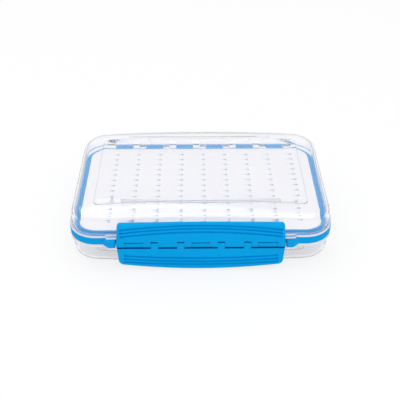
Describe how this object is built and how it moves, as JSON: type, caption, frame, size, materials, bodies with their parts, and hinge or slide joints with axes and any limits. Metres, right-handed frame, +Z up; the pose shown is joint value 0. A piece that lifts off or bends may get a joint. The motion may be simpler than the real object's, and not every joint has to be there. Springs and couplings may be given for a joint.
{
  "type": "fly box",
  "caption": "Double-sided waterproof fly box: clear lids on both sides of a blue frame that holds slit foams, with wide blue latches at the front and a full-width pin hinge at the back.",
  "frame": {"origin": "on the surface that the box stands on, under the middle of its outer box, latches and hinge included", "axes": "+X to the right along the latches, seen from the front; +Y from the latches to the hinge; +Z up, through both lids"},
  "size_m": [0.15, 0.1068, 0.0382],
  "materials": {
    "clear_lid": "clear polycarbonate, gloss",
    "frame_plastic": "satin blue ABS",
    "latch_plastic": "fine-textured blue ABS",
    "seal_rubber": "soft blue elastomer",
    "foam": "closed-cell white foam",
    "pin_steel": "drawn stainless wire"
  },
  "bodies": {
    "lower_lid": {"lower_lid": "clear_lid"},
    "frame": {"mid_frame": "frame_plastic", "lower_seal": "seal_rubber", "upper_seal": "seal_rubber", "lower_foam": "foam", "upper_foam": "foam", "latch_pin": "pin_steel", "hinge_pin": "pin_steel"},
    "upper_lid": {"upper_lid": "clear_lid"},
    "upper_latch": {"upper_latch": "latch_plastic"},
    "lower_latch": {"lower_latch": "latch_plastic"}
  },
  "joints": [
    {"name": "frame_hinge", "type": "hinge", "parent": "lower_lid", "child": "frame", "pos_m": [0, 0.05095, 0.0191], "axis": [-1, 0, 0], "range_deg": [0, 180]},
    {"name": "lid_hinge", "type": "hinge", "parent": "frame", "child": "upper_lid", "pos_m": [0, 0.05095, 0.0191], "axis": [-1, 0, 0], "range_deg": [0, 180]},
    {"name": "upper_latch_swing", "type": "hinge", "parent": "frame", "child": "upper_latch", "pos_m": [0, -0.05185, 0.0191], "axis": [1, 0, 0], "range_deg": [0, 60]},
    {"name": "lower_latch_swing", "type": "hinge", "parent": "frame", "child": "lower_latch", "pos_m": [0, -0.05185, 0.0191], "axis": [-1, 0, 0], "range_deg": [0, 60]}
  ]
}
